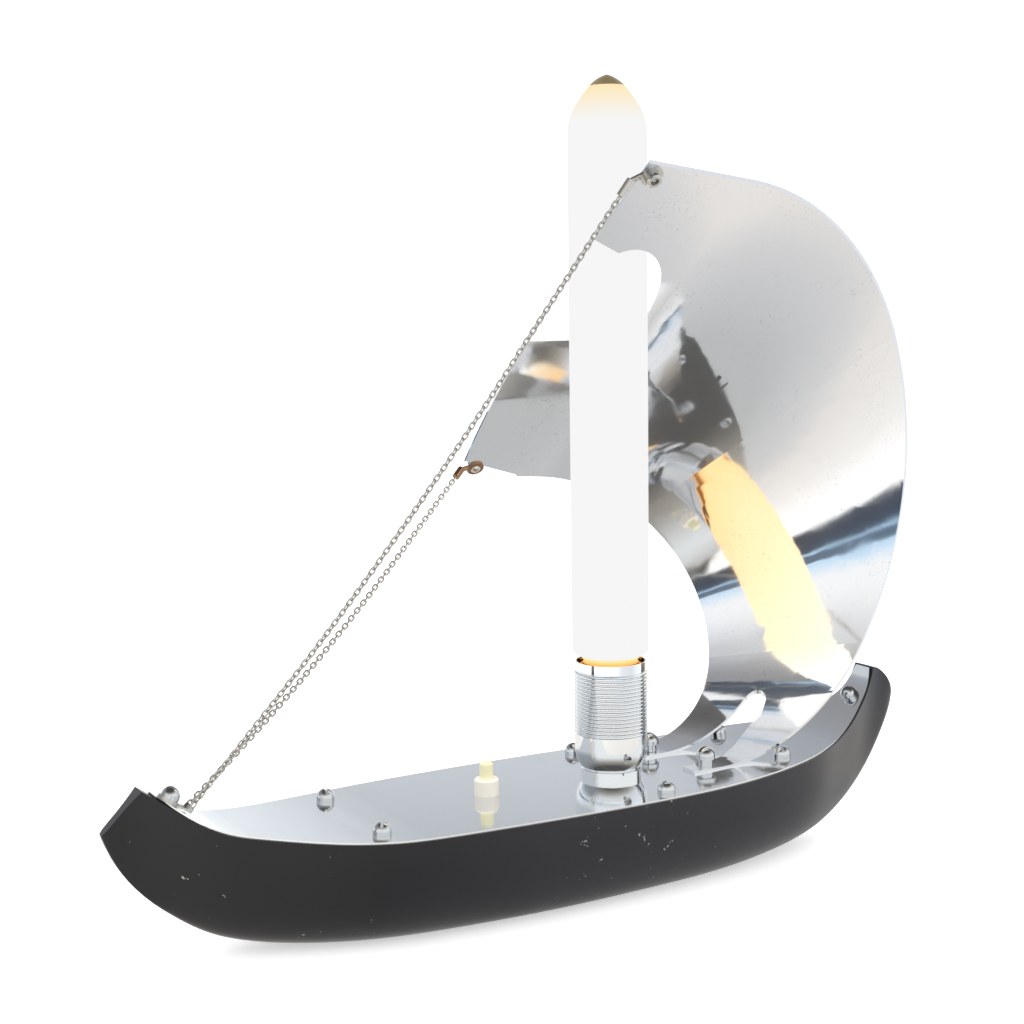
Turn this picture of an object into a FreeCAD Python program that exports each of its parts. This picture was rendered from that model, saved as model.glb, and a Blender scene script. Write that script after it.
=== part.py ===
import FreeCAD, Part
import math
import os
import re
import Sketcher
from FreeCAD import Placement, Rotation, Vector

# Table lamp in the shape of a sailing yacht: a lacquered wooden hull with a chromed deck plate, a
# bayonet lampholder with a tubular lamp as the mast, a conical chromed sail that reflects it, a push
# switch in the foredeck, and two chains from the sail's corners to the bow.
# Frame, in millimetres: +X towards the stern, -Y the near side, +Z up. The origin is the middle of the
# face that the hull rests on, on its centreline.

SIZES = {
    # hull and deck
    "deck_top": 42.0, "plate_thick": 0.8, "felt_thick": 1.0, "plate_margin": 0.7,
    "deck_straight_fore": 65.0, "deck_straight_aft": 50.0,
    "bow_arc_long": 330.0, "bow_arc_short": 45.0, "stern_arc_long": 700.0, "stern_arc_mid": 50.0,
    "stern_arc_tip": 20.0, "cavity_fore": 34.0, "cavity_aft": 58.0, "cavity_half": 12.0,
    "cavity_roof": 30.0, "cover_thick": 2.0, "cover_lip": 6.0, "cover_half": 14.5,
    "inlet_station": 46.0, "inlet_height": 15.0, "inlet_radius": 4.0, "inlet_bore": 3.2,
    # lampholder
    "lamp_station": 34.5, "shell_radius": 14.3, "shell_bore": 13.3, "shell_rim": 87.5,
    "band_foot": 83.9, "band_radius": 13.9, "rib_pitch": 1.47, "rib_depth": 0.55, "dome_top": 59.0,
    "dome_shoulder": 53.0, "dome_foot": 44.8, "dome_foot_radius": 11.2, "neck_radius": 12.0,
    "spigot_radius": 8.0, "spigot_top": 56.0, "chamber_radius": 6.8, "chamber_floor": 47.0, "grub_height": 50.3,
    "grub_radius": 1.7, "nipple_radius": 5.0, "nipple_bore": 3.5, "nipple_foot": 22.0, "nut_thick": 4.0,
    "sleeve_bore": 11.2, "sleeve_wall": 0.9, "sleeve_foot": 61.5, "sleeve_top": 86.0,
    "slot_foot": 71.2, "core_top": 63.5, "contact_spacing": 4.4, "contact_radius": 2.0,
    "contact_top": 65.6, "contact_foot": 60.5, "tail_radius": 0.9, "spring_floor": 57.5,
    # lamp
    "glass_radius": 15.0, "glass_wall": 0.8, "glass_full": 288.5, "cap_radius": 11.0, "cap_bore": 10.5,
    "cap_foot": 66.6, "cap_top": 87.0, "pin_radius": 1.1, "pin_reach": 13.0, "pin_height": 72.5,
    # switch
    "switch_station": 21.5, "collar_radius": 4.7, "collar_top": 48.4, "bush_radius": 3.9,
    "button_radius": 2.6, "button_bore": 2.65, "button_top": 54.6, "switch_radius": 8.0,
    "switch_foot": 12.0,
    # sail
    "sail_thick": 1.1, "apex_station": 20.7, "apex_side": 183.7, "notch_radius": 17.5,
    # fixings
    "head_radius": 3.4, "head_dome": 4.4, "shank_radius": 1.6, "slot_width": 1.1, "collar_height": 3.0,
    "chain_diameter": 2.4, "tag_thick": 0.7, "lead_diameter": 1.6,
    "filament_diameter": 0.6,
}

# Lines plan of the hull: station, height of the keel, half-beam at the sheer, half-beam at the keel.
LINES = [
    (-170.0, 50.0, 2.2, 1.0), (-165.0, 38.5, 2.4, 1.0), (-157.0, 27.5, 3.6, 1.3),
    (-147.0, 18.5, 8.6, 1.8), (-134.0, 10.0, 15.6, 2.8), (-118.0, 4.6, 21.5, 4.8),
    (-98.0, 1.6, 30.0, 8.5), (-76.0, 0.7, 37.0, 14.0), (-45.0, 0.7, 40.6, 19.0),
    (-5.0, 0.7, 42.2, 21.0), (35.0, 0.7, 41.9, 19.0), (70.0, 0.7, 39.3, 15.0),
    (97.0, 1.6, 34.9, 9.5), (117.0, 3.8, 28.8, 6.0), (134.0, 7.8, 19.9, 3.8),
    (148.0, 15.0, 12.6, 2.8), (160.0, 25.5, 6.9, 2.2), (169.0, 38.0, 4.9, 1.6),
    (175.5, 52.0, 3.9, 1.2),
]
# Angles of the sheer's arcs from the level: bow, then stern.
BOW_LONG_TURN, BOW_SHORT_TURN = 10.3, 36.0
STERN_LONG_TURN, STERN_MID_TURN, STERN_TIP_TURN = 6.4, 42.0, 70.0
# Turns of the sail's three arcs, foot to head, in the plane where they are drawn.
SAIL_ARCS, SAIL_TURNS = (82.0, 149.5, 104.0), (67.0, 51.2, 55.3)
SAIL_TOE, SAIL_RISE, SAIL_TOP_RUN = 50.0, 81.1, 140.0

doc = FreeCAD.newDocument("yacht_lamp")
sheet = doc.addObject("Spreadsheet::Sheet", "dims")
for row, (alias, value) in enumerate(SIZES.items(), start=1):
    sheet.set(f"A{row}", alias.replace("_", " "))
    sheet.set(f"B{row}", str(value))
    sheet.setAlias(f"B{row}", alias)
doc.recompute()

NODES = []


def size(expression):
    """The value of an expression in the sheet's cells."""
    return float(sheet.evalExpression(str(expression)))


def bound(expression):
    """The same expression, written for an object outside the sheet."""
    return re.sub(r"[a-z]+(_[a-z]+)+", r"<<dims>>.\g<0>", str(expression))


def node(thing, label):
    thing.Label = label
    NODES.append(thing)
    return thing


def at(x=0.0, y=0.0, z=0.0, rotation=Rotation()):
    return Placement(Vector(x, y, z), rotation)


def body_of(label):
    body = doc.addObject("PartDesign::Body", label + "_body")
    body.Label = label
    return body


def sketch_on(body, role, name, offset=None):
    """A sketch on one of the body's own origin planes, moved along the plane's normal by offset."""
    sketch = body.newObject("Sketcher::SketchObject", name)
    plane = [item for item in body.Origin.OriginFeatures if item.Role == role][0]
    sketch.AttachmentSupport = (plane, [""])
    sketch.MapMode = "FlatFace"
    if offset is not None:
        sketch.setExpression("AttachmentOffset.Base.z", bound(offset))
    return sketch


def pin_down(sketch, geometry, end, x, y):
    """Fix one end of a sketch line at coordinates given as expressions in the sheet's cells."""
    for kind, coordinate, axis in (("DistanceX", x, -2), ("DistanceY", y, -1)):
        if size(coordinate) == 0.0:
            sketch.addConstraint(Sketcher.Constraint("PointOnObject", geometry, end, axis))
            continue
        index = sketch.addConstraint(Sketcher.Constraint(kind, -1, 1, geometry, end, size(coordinate)))
        if isinstance(coordinate, str):
            sketch.setExpression(f"Constraints[{index}]", bound(coordinate))


def outline(sketch, points, closed=True):
    """Lines through the points; a third item is the radius of the arc that arrives at that point, with
    the arc's centre on the left of the way there when it is positive."""
    places = [Vector(size(point[0]), size(point[1]), 0) for point in points]
    count = len(points) if closed else len(points) - 1
    ends = []
    for step in range(count):
        start, stop = places[step], places[(step + 1) % len(points)]
        target = points[(step + 1) % len(points)]
        if len(target) == 3:
            radius = size(target[2])
            chord = stop - start
            left = Vector(-chord.y, chord.x, 0).normalize()
            rise = math.sqrt(max(radius * radius - chord.Length ** 2 / 4, 0))
            centre = (start + stop) * 0.5 + left * (rise if radius > 0 else -rise)
            circle = Part.Circle(centre, Vector(0, 0, 1), abs(radius))
            first, last = (start, stop) if radius > 0 else (stop, start)
            angles = [math.atan2(p.y - centre.y, p.x - centre.x) for p in (first, last)]
            number = sketch.addGeometry(Part.ArcOfCircle(circle, *angles), False)
            ends.append((number, 1, 2) if radius > 0 else (number, 2, 1))
        else:
            number = sketch.addGeometry(Part.LineSegment(start, stop), False)
            ends.append((number, 1, 2))
    for step, (number, first, last) in enumerate(ends):
        pin_down(sketch, number, first, points[step][0], points[step][1])
        if step + 1 < len(ends) or closed:
            following = ends[(step + 1) % len(ends)]
            sketch.addConstraint(Sketcher.Constraint("Coincident", number, last, *following[:2]))
        else:
            pin_down(sketch, number, last, points[-1][0], points[-1][1])
        target = points[(step + 1) % len(points)]
        if len(target) == 3:
            index = sketch.addConstraint(Sketcher.Constraint("Radius", number, abs(size(target[2]))))
            if isinstance(target[2], str):
                sketch.setExpression(f"Constraints[{index}]", bound(target[2].lstrip("-")))


def circle_in(sketch, x, y, radius):
    number = sketch.addGeometry(Part.Circle(Vector(size(x), size(y), 0), Vector(0, 0, 1), size(radius)), False)
    pin_down(sketch, number, 3, x, y)
    index = sketch.addConstraint(Sketcher.Constraint("Radius", number, size(radius)))
    if isinstance(radius, str):
        sketch.setExpression(f"Constraints[{index}]", bound(radius))


def revolve(body, sketch, name):
    turn = body.newObject("PartDesign::Revolution", name)
    turn.Profile = sketch
    turn.ReferenceAxis = (sketch, ["V_Axis"])
    turn.Angle = 360.0
    return turn


def turned(label, points):
    """A body turned about its own Z axis from the outline of (radius, height) points."""
    body = body_of(label)
    sketch = sketch_on(body, "XZ_Plane", label + "_outline")
    outline(sketch, points)
    revolve(body, sketch, label + "_turn")
    return body


def pad(body, sketch, name, length, both_ways=False, reversed_way=False):
    feature = body.newObject("PartDesign::Pad", name)
    feature.Profile = sketch
    feature.setExpression("Length", bound(length))
    feature.Midplane = both_ways
    feature.Reversed = reversed_way
    return feature


def pocket(body, sketch, name, length, both_ways=False, reversed_way=False):
    feature = body.newObject("PartDesign::Pocket", name)
    feature.Profile = sketch
    feature.setExpression("Length", bound(length))
    feature.Midplane = both_ways
    feature.Reversed = reversed_way
    return feature


def bore_through(body, name, x, y, radius, top, depth):
    """A round hole along Z, from the height top downwards."""
    sketch = sketch_on(body, "XY_Plane", name + "_circle", top)
    circle_in(sketch, x, y, radius)
    return pocket(body, sketch, name, depth)


def fixed_shape(label, shape):
    feature = doc.addObject("Part::Feature", label)
    feature.Shape = shape
    return feature


def cylinder(label, radius, height, placement):
    thing = doc.addObject("Part::Cylinder", label)
    thing.setExpression("Radius", bound(radius))
    thing.setExpression("Height", bound(height))
    thing.Placement = placement
    return thing


def cut(label, base, tools):
    fused = tools[0]
    if len(tools) > 1:
        fused = doc.addObject("Part::MultiFuse", label + "_tools")
        fused.Shapes = tools
    result = doc.addObject("Part::Cut", label)
    result.Base = base
    result.Tool = fused
    return result


def extrusion(label, sketch, direction, forward, back=0.0):
    thing = doc.addObject("Part::Extrusion", label)
    thing.Base = sketch
    thing.DirMode = "Custom"
    thing.Dir = direction
    thing.LengthFwd = forward
    thing.LengthRev = back
    thing.Solid = True
    return thing


def free_sketch(label, placement=Placement()):
    sketch = doc.addObject("Sketcher::SketchObject", label)
    sketch.Placement = placement
    return sketch


SIDE_VIEW = Placement(Vector(), Rotation(Vector(1, 0, 0), 90))
FRONT_VIEW = Placement(Vector(), Rotation(Vector(0, 1, 0), Vector(0, 0, 1), Vector(1, 0, 0), "ZXY"))
ALONG_Y = Rotation(Vector(1, 0, 0), -90)
ALONG_X = Rotation(Vector(0, 1, 0), 90)


def common(label, one, other):
    result = doc.addObject("Part::Common", label)
    result.Base = one
    result.Tool = other
    return result


def fused(label, things):
    result = doc.addObject("Part::MultiFuse", label)
    result.Shapes = things
    return result


def copies(label, master, placements):
    """Separate solids of one shape, gathered in one piece."""
    links = []
    for number, placement in enumerate(placements, start=1):
        link = doc.addObject("App::Link", f"{master.Name}_{number}")
        link.LinkedObject = master
        link.LinkTransform = False
        link.Placement = placement
        links.append(link)
    group = doc.addObject("Part::Compound", label)
    group.Links = links
    return node(group, label)


def prism(name, view, points, direction, forward, back=0.0):
    sketch = free_sketch(name + "_outline", view)
    outline(sketch, points)
    return extrusion(name, sketch, direction, forward, back)


# ---------------------------------------------------------------- the sheer, shared by hull and deck


def run_on(point, degrees, run):
    """The point that lies a run further, at an angle from the level."""
    return (point[0] + run * math.cos(math.radians(degrees)),
            point[1] + run * math.sin(math.radians(degrees)))


def sheer_line(lift, bow_run, stern_run):
    """The sheer in the side view from bow to stern, lifted off the wood: (x, z, radius of the arc)."""
    level = size("deck_top - plate_thick") + lift
    turns = [math.radians(angle) for angle in (BOW_SHORT_TURN, BOW_LONG_TURN)]
    long_arc, short_arc = size("bow_arc_long") - lift, size("bow_arc_short") - lift
    flat_fore, flat_aft = -size("deck_straight_fore"), size("deck_straight_aft")
    long_end = (flat_fore - long_arc * math.sin(turns[1]), level + long_arc * (1 - math.cos(turns[1])))
    short_end = (long_end[0] - short_arc * (math.sin(turns[0]) - math.sin(turns[1])),
                 long_end[1] + short_arc * (math.cos(turns[1]) - math.cos(turns[0])))
    points = [run_on(short_end, 180 - BOW_SHORT_TURN, bow_run), short_end, (*long_end, short_arc),
              (flat_fore, level, long_arc), (flat_aft, level)]
    here, angle = (flat_aft, level), 0.0
    arcs = (("stern_arc_long", STERN_LONG_TURN), ("stern_arc_mid", STERN_MID_TURN),
            ("stern_arc_tip", STERN_TIP_TURN))
    for alias, turn in arcs:
        radius, heading = size(alias) - lift, math.radians(turn)
        here = (here[0] + radius * (math.sin(heading) - math.sin(angle)),
                here[1] + radius * (math.cos(angle) - math.cos(heading)))
        points.append((*here, radius))
        angle = heading
    return points + [run_on(here, STERN_TIP_TURN, stern_run)]


def sheer_at(line, station):
    """Height and slope in degrees of a sheer line at a station."""
    for fore, aft in zip(line, line[1:]):
        if station > aft[0]:
            continue
        run, rise = aft[0] - fore[0], aft[1] - fore[1]
        if len(aft) == 2:
            return fore[1] + rise * (station - fore[0]) / run, math.degrees(math.atan2(rise, run))
        radius, chord = aft[2], math.hypot(run, rise)
        lift = math.sqrt(radius * radius - chord * chord / 4)
        centre = ((fore[0] + aft[0]) / 2 - rise / chord * lift, (fore[1] + aft[1]) / 2 + run / chord * lift)
        offset = station - centre[0]
        return centre[1] - math.sqrt(radius * radius - offset * offset), math.degrees(math.asin(offset / radius))
    return line[-1][1], STERN_TIP_TURN


WOOD = sheer_line(0.0, 17.0, 5.0)
PLATE = sheer_line(size("plate_thick"), 12.0, 4.2)


def on_deck(station, side, lift=0.0):
    """A place on the deck plate whose Z axis stands square to the plate."""
    height, slope = sheer_at(PLATE, station)
    turn = Rotation(Vector(0, 1, 0), -slope)
    return Placement(Vector(station, side, height) + turn.multVec(Vector(0, 0, lift)), turn)


# ---------------------------------------------------------------- fixings


def round_screw(name, head, dome, shank, length):
    """A round-head slotted screw along Z, its seat at the origin: a short upright side, then a dome."""
    side = dome * 0.3
    crown = dome - side
    rise = (head * head + crown * crown) / (2 * crown)
    blank = turned(name, [(0, -length), (shank, -length + shank), (shank, 0), (head, 0), (head, side),
                          (0, dome, rise)])
    sketch = sketch_on(blank, "XY_Plane", name + "_slot_plan", size(dome))
    half = size("slot_width") * size(head) / size("head_radius") / 2
    outline(sketch, [(-head - 1, -half), (head + 1, -half), (head + 1, half), (-head - 1, half)])
    pocket(blank, sketch, name + "_slot", size(dome) * 0.35)
    return blank


def shank_holes(name, radius, length, placements):
    holes = []
    for number, placement in enumerate(placements, start=1):
        deep = Placement(placement.Base, placement.Rotation * Rotation(Vector(1, 0, 0), 180))
        holes.append(cylinder(f"{name}_{number}", radius, length, deep))
        up = cylinder(f"{name}_{number}_way", radius, 6, placement)
        holes.append(up)
    return holes


DECK_SCREWS = [on_deck(station, side, 0.02) * Placement(Vector(), Rotation(Vector(0, 0, 1), slot_turn))
               for station, side, slot_turn in ((-77.0, -25.0, 61), (-77.0, 25.0, 80), (37.5, -34.0, 20),
                                                (37.5, 34.0, 110), (102.0, -21.7, 65), (102.0, 21.7, 130))]
STERN_SCREW = on_deck(155.0, 0.0)
BOW_SCREW = on_deck(-146.5, 0.0, 2 * size("tag_thick"))
FOOT_SCREWS = [at(64.0, 17.0, size("deck_top + sail_thick + collar_height") + 0.1),
               at(70.0, -14.0, size("deck_top + sail_thick + collar_height") + 0.02)]
COVER_SCREWS = [at(-37.0, 0, size("felt_thick"), Rotation(Vector(1, 0, 0), 180)),
                at(61.0, 0, size("felt_thick"), Rotation(Vector(1, 0, 0), 180))]

deck_screw = round_screw("deck_screw", size("head_radius"), size("head_dome"), size("shank_radius"), 14.0)
copies("deck_screws", deck_screw, DECK_SCREWS)
for label, place in (("stern_screw", STERN_SCREW), ("bow_screw", BOW_SCREW)):
    screw = round_screw(label, size("head_radius"), size("head_dome"), size("shank_radius"), 14.0)
    screw.Placement = place
    node(screw, label)
foot_screw = round_screw("foot_screw", 3.8, 4.6, size("shank_radius"), 20.0)
copies("foot_screws", foot_screw, FOOT_SCREWS)
foot_collar = turned("foot_collar", [
    ("shank_radius", 0), (2.85, 0), (2.85, "collar_height"), ("shank_radius", "collar_height")])
copies("foot_collars", foot_collar,
       [at(place.Base.x, place.Base.y, place.Base.z - size("collar_height")) for place in FOOT_SCREWS])
cover_screw = turned("cover_screw", [(0, -11), (1.3, -9.7), (1.3, -1.6), (2.8, 0), (0, 0)])
slot_plan = sketch_on(cover_screw, "XY_Plane", "cover_screw_slot_plan")
outline(slot_plan, [(-4, -0.35), (4, -0.35), (4, 0.35), (-4, 0.35)])
pocket(cover_screw, slot_plan, "cover_screw_slot", 0.8)
copies("cover_screws", cover_screw, COVER_SCREWS)

# ---------------------------------------------------------------- hull


def section_curve(poles):
    curve = Part.BezierCurve()
    curve.setPoles([Vector(x, y, 0) for x, y in poles])
    return curve.toBSpline()


hull_body = body_of("hull_blank")
sections = []
for number, (station, keel, beam, keel_beam) in enumerate(LINES):
    sketch = sketch_on(hull_body, "YZ_Plane", f"section_{number}", station)
    top = max(sheer_at(WOOD, max(station, WOOD[0][0]))[0], keel) + 6.0
    depth = top - keel
    side = [(beam, top), (beam, top - 0.6 * depth), (keel_beam + 0.6 * (beam - keel_beam), keel),
            (keel_beam, keel)]
    other_side = [(-x, y) for x, y in reversed(side)]
    sketch.addGeometry(section_curve(side), False)
    sketch.addGeometry(Part.LineSegment(Vector(keel_beam, keel, 0), Vector(-keel_beam, keel, 0)), False)
    sketch.addGeometry(section_curve(other_side), False)
    sketch.addGeometry(Part.LineSegment(Vector(-beam, top, 0), Vector(beam, top, 0)), False)
    sections.append(sketch)
loft = hull_body.newObject("PartDesign::AdditiveLoft", "hull_loft")
loft.Profile = sections[0]
loft.Sections = sections[1:]

above = sketch_on(hull_body, "XZ_Plane", "above_sheer")
bow_toe = run_on(WOOD[0], 225.0, 24.0)
stern_knee = run_on(WOOD[-1], 345.0, 2.6)
outline(above, [bow_toe] + WOOD + [stern_knee, (175.2, 58.6, -19.3), (176.2, 52), (177.6, 40), (220, 40),
                                   (220, 140), (-220, 140), (-220, 40)])
pocket(hull_body, above, "sheer_cut", 120, both_ways=True)
below = sketch_on(hull_body, "XZ_Plane", "below_rest")
outline(below, [(-200, -5), (200, -5), (200, "felt_thick"), (-200, "felt_thick")])
pocket(hull_body, below, "rest_cut", 120, both_ways=True)
room = sketch_on(hull_body, "XY_Plane", "cavity_plan")
outline(room, [("-cavity_fore", "-cavity_half"), ("cavity_aft", "-cavity_half"),
               ("cavity_aft", "cavity_half"), ("-cavity_fore", "cavity_half")])
pocket(hull_body, room, "cavity", "cavity_roof", reversed_way=True)
seat = sketch_on(hull_body, "XY_Plane", "cover_seat_plan")
outline(seat, [("-cavity_fore - cover_lip", "-cover_half"), ("cavity_aft + cover_lip", "-cover_half"),
               ("cavity_aft + cover_lip", "cover_half"), ("-cavity_fore - cover_lip", "cover_half")])
pocket(hull_body, seat, "cover_seat", "felt_thick + cover_thick", reversed_way=True)
bore_through(hull_body, "nipple_hole", "lamp_station", 0, "nipple_radius + 0.05", "deck_top", 20)
bore_through(hull_body, "switch_hole", "-switch_station", 0, "bush_radius + 0.05", "deck_top", 20)
inlet = sketch_on(hull_body, "XZ_Plane", "inlet_circle")
circle_in(inlet, "inlet_station", "inlet_height", "inlet_radius")
pocket(hull_body, inlet, "inlet_hole", 60)
wood_holes = shank_holes("wood_hole", "shank_radius", 14.0, DECK_SCREWS + [STERN_SCREW, BOW_SCREW])
wood_holes += shank_holes("foot_hole", "shank_radius", 20.0, FOOT_SCREWS)
cover_holes = shank_holes("cover_hole", 1.3, 11.0, COVER_SCREWS)
node(cut("hull_cut", hull_body, wood_holes + cover_holes), "hull")

# ---------------------------------------------------------------- deck plate


def backwards(points):
    """The same line the other way round."""
    pairs = zip(points, points[1:])
    turned_round = [(*fore[:2], -aft[2]) if len(aft) == 3 else fore[:2] for fore, aft in pairs]
    return [points[-1][:2]] + turned_round[::-1]


strip = prism("deck_strip", SIDE_VIEW, sheer_line(0.0, 12.0, 4.2) + backwards(PLATE),
              Vector(0, 1, 0), 60, 60)
plan = free_sketch("deck_plan", at(0, 0, 30))
edge = [(-151.5, 4.2)] + [(line[0], line[2] - size("plate_margin")) for line in LINES[3:16]]
edge += [(156.0, 7.8), (160.0, 5.9), (162.0, 4.2), (162.8, 2.4)]
for hand in (1, -1):
    curve = Part.BSplineCurve()
    curve.interpolate([Vector(x, hand * y, 0) for x, y in edge])
    plan.addGeometry(curve, False)
for x, y in (edge[0], edge[-1]):
    plan.addGeometry(Part.LineSegment(Vector(x, y, 0), Vector(x, -y, 0)), False)
plate_blank = common("plate_blank", strip, extrusion("deck_prism", plan, Vector(0, 0, 1), 60))
plate_holes = shank_holes("plate_hole", "shank_radius", 14.0, DECK_SCREWS + [STERN_SCREW, BOW_SCREW])
plate_holes += shank_holes("plate_foot_hole", "shank_radius", 20.0, FOOT_SCREWS)
plate_holes += [
    cylinder("plate_stern_seat", size("head_radius") + 0.05, 6, STERN_SCREW),
    cylinder("plate_nipple_hole", "nipple_radius + 0.05", 10, at(size("lamp_station"), 0, 38)),
    cylinder("plate_switch_hole", "bush_radius + 0.05", 10, at(-size("switch_station"), 0, 38)),
]
node(cut("plate_cut", plate_blank, plate_holes), "deck_plate")

# ---------------------------------------------------------------- underside

cover = body_of("cover_blank")
cover_plan = sketch_on(cover, "XY_Plane", "cover_plan")
outline(cover_plan, [("-cavity_fore - cover_lip", "-cover_half"), ("cavity_aft + cover_lip", "-cover_half"),
                     ("cavity_aft + cover_lip", "cover_half"), ("-cavity_fore - cover_lip", "cover_half")])
pad(cover, cover_plan, "cover_pad", "cover_thick")
cover.Placement = at(0, 0, size("felt_thick"))
cover_cones = []
for number, place in enumerate(COVER_SCREWS, start=1):
    cone = doc.addObject("Part::Cone", f"cover_cone_{number}")
    cone.Radius1, cone.Radius2, cone.Height = 2.8, 1.3, 1.6
    cone.Placement = at(place.Base.x, 0, size("felt_thick"))
    cover_cones.append(cone)
cover_ways = [cylinder(f"cover_way_{number}", 1.3, 4, at(place.Base.x, 0, 0.5))
              for number, place in enumerate(COVER_SCREWS, start=1)]
node(cut("cover_cut", cover, cover_cones + cover_ways), "cavity_cover")

felt = body_of("base_felt")
felt_plan = sketch_on(felt, "XY_Plane", "felt_plan")
outline(felt_plan, [(-62, -13, 13.5), (66, -13), (66, 13, 13.5), (-62, 13)])
pad(felt, felt_plan, "felt_pad", "felt_thick")
node(felt, "base_felt")

bush = turned("inlet_bush", [("inlet_bore", 0), (5.6, 0), (5.6, 1.5), ("inlet_radius", 1.5),
                             ("inlet_radius", 24.5), ("inlet_bore", 24.5)])
bush.Placement = at(size("inlet_station"), 10.5, size("inlet_height"), ALONG_Y)
node(bush, "inlet_bush")

# ---------------------------------------------------------------- lampholder

LAMP = at(size("lamp_station"), 0, 0)


def on_lamp(label, points):
    body = turned(label, points)
    body.Placement = LAMP
    return body


dome_rise, dome_run = size("dome_shoulder - dome_foot"), size("shell_radius - dome_foot_radius")
dome_arc = (dome_rise ** 2 + dome_run ** 2) / (2 * dome_run)
dome_centre = size("shell_radius") - dome_arc
inner_arc = size("shell_bore") - dome_centre
floor_height = size("dome_foot") + 1.0
floor_radius = dome_centre + math.sqrt(inner_arc ** 2 - (size("dome_shoulder") - floor_height) ** 2)
shell_points = [("spigot_radius", "dome_foot"), ("dome_foot_radius", "dome_foot"),
                ("shell_radius", "dome_shoulder", dome_arc), ("shell_radius", "dome_top")]
ribs = round(size("(band_foot - dome_top) / rib_pitch"))
for rib in range(ribs):
    foot = size("dome_top") + rib * size("rib_pitch")
    pitch, crest, groove = size("rib_pitch"), size("shell_radius"), size("shell_radius - rib_depth")
    shell_points += [(crest, foot + 0.55 * pitch, 0.45 * pitch), (groove, foot + 0.72 * pitch),
                     (groove, foot + 0.83 * pitch), (crest, foot + pitch)]
shell_points = shell_points[:-1] + [("band_radius", shell_points[-1][1]), ("band_radius", "shell_rim"),
                                    ("shell_bore", "shell_rim"), ("shell_bore", "dome_shoulder"),
                                    (floor_radius, floor_height, -inner_arc),
                                    ("spigot_radius", floor_height)]
shell = on_lamp("shell_blank", shell_points)
grub_way = Rotation(Vector(0, 0, 1), -5) * Rotation(Vector(1, 0, 0), 90)
grub_seat = grub_way.multVec(Vector(0, 0, size("spigot_radius")))
grub_place = at(size("lamp_station") + grub_seat.x, grub_seat.y, size("grub_height"), grub_way)
node(cut("shell_cut", shell, [cylinder("grub_hole", "grub_radius", 8, grub_place)]), "holder_shell")

neck = on_lamp("holder_neck", [
    ("nipple_radius", "deck_top"), ("neck_radius", "deck_top"), ("neck_radius", "dome_foot"),
    ("spigot_radius", "dome_foot"), ("spigot_radius", "spigot_top"), ("chamber_radius", "spigot_top"),
    ("chamber_radius", "chamber_floor"), ("nipple_radius", "chamber_floor")])
node(neck, "holder_neck")

grub = body_of("grub_screw")
grub_circle = sketch_on(grub, "XY_Plane", "grub_circle")
circle_in(grub_circle, 0, 0, "grub_radius")
pad(grub, grub_circle, "grub_pad", 4.6)
grub_slot = sketch_on(grub, "XY_Plane", "grub_slot_plan", 4.6)
outline(grub_slot, [(-2, -0.25), (2, -0.25), (2, 0.25), (-2, 0.25)])
pocket(grub, grub_slot, "grub_slot", 0.8)
grub.Placement = grub_place
node(grub, "grub_screw")

sleeve = on_lamp("sleeve_blank", [
    ("sleeve_bore", "sleeve_foot"), ("sleeve_bore + sleeve_wall", "sleeve_foot"),
    ("sleeve_bore + sleeve_wall", "sleeve_top"), ("sleeve_bore", "sleeve_top")])
pin_way = prism("pin_slots", SIDE_VIEW, [
    (size("lamp_station - pin_radius") - 0.1, size("slot_foot")),
    (size("lamp_station + pin_radius") + 0.1, size("slot_foot")),
    (size("lamp_station + pin_radius") + 0.1, size("sleeve_top") + 2),
    (size("lamp_station - pin_radius") - 0.1, size("sleeve_top") + 2)], Vector(0, 1, 0), 20, 20)
node(cut("sleeve_cut", sleeve, [pin_way]), "bayonet_sleeve")

core = on_lamp("core_blank", [
    (0, "spigot_top"), (11.6, "spigot_top"), (11.6, "dome_top"), ("shell_bore", "dome_top"),
    ("shell_bore", "sleeve_foot"), ("sleeve_bore", "sleeve_foot"), ("sleeve_bore", "core_top"),
    (0, "core_top")])
CONTACTS = [at(size("lamp_station") + side * size("contact_spacing"), 0, 0) for side in (-1, 1)]
core_bores = []
for number, place in enumerate(CONTACTS, start=1):
    core_bores.append(cylinder(f"plunger_bore_{number}", "contact_radius + 0.06", 10,
                               at(place.Base.x, 0, size("spring_floor"))))
    core_bores.append(cylinder(f"tail_bore_{number}", "tail_radius + 0.06", 10,
                               at(place.Base.x, 0, size("spring_floor") - 6)))
node(cut("core_cut", core, core_bores), "holder_core")

plunger = turned("contact_plunger", [
    (0, 55.2), ("tail_radius", 55.2), ("tail_radius", "contact_foot"), ("contact_radius", "contact_foot"),
    ("contact_radius", "contact_top"), (0, "contact_top")])
copies("contact_plungers", plunger, CONTACTS)

post = doc.addObject("Part::Box", "post_blank")
post.Length, post.Width, post.Height = 3.0, 3.6, 3.5
post.Placement = at(-1.5, -1.8, 52.5)
post_cut = cut("terminal_post", post, [cylinder("post_bore", "tail_radius + 0.06", 6, at(0, 0, 53.2))])
copies("holder_terminals", post_cut, CONTACTS)

nipple = on_lamp("nipple", [("nipple_bore", "nipple_foot"), ("nipple_radius", "nipple_foot"),
                            ("nipple_radius", "chamber_floor"), ("nipple_bore", "chamber_floor")])
node(nipple, "nipple")
washer = on_lamp("nipple_washer", [("nipple_radius + 0.1", "cavity_roof - 1"), (9, "cavity_roof - 1"),
                                   (9, "cavity_roof"), ("nipple_radius + 0.1", "cavity_roof")])
node(washer, "nipple_washer")


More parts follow.
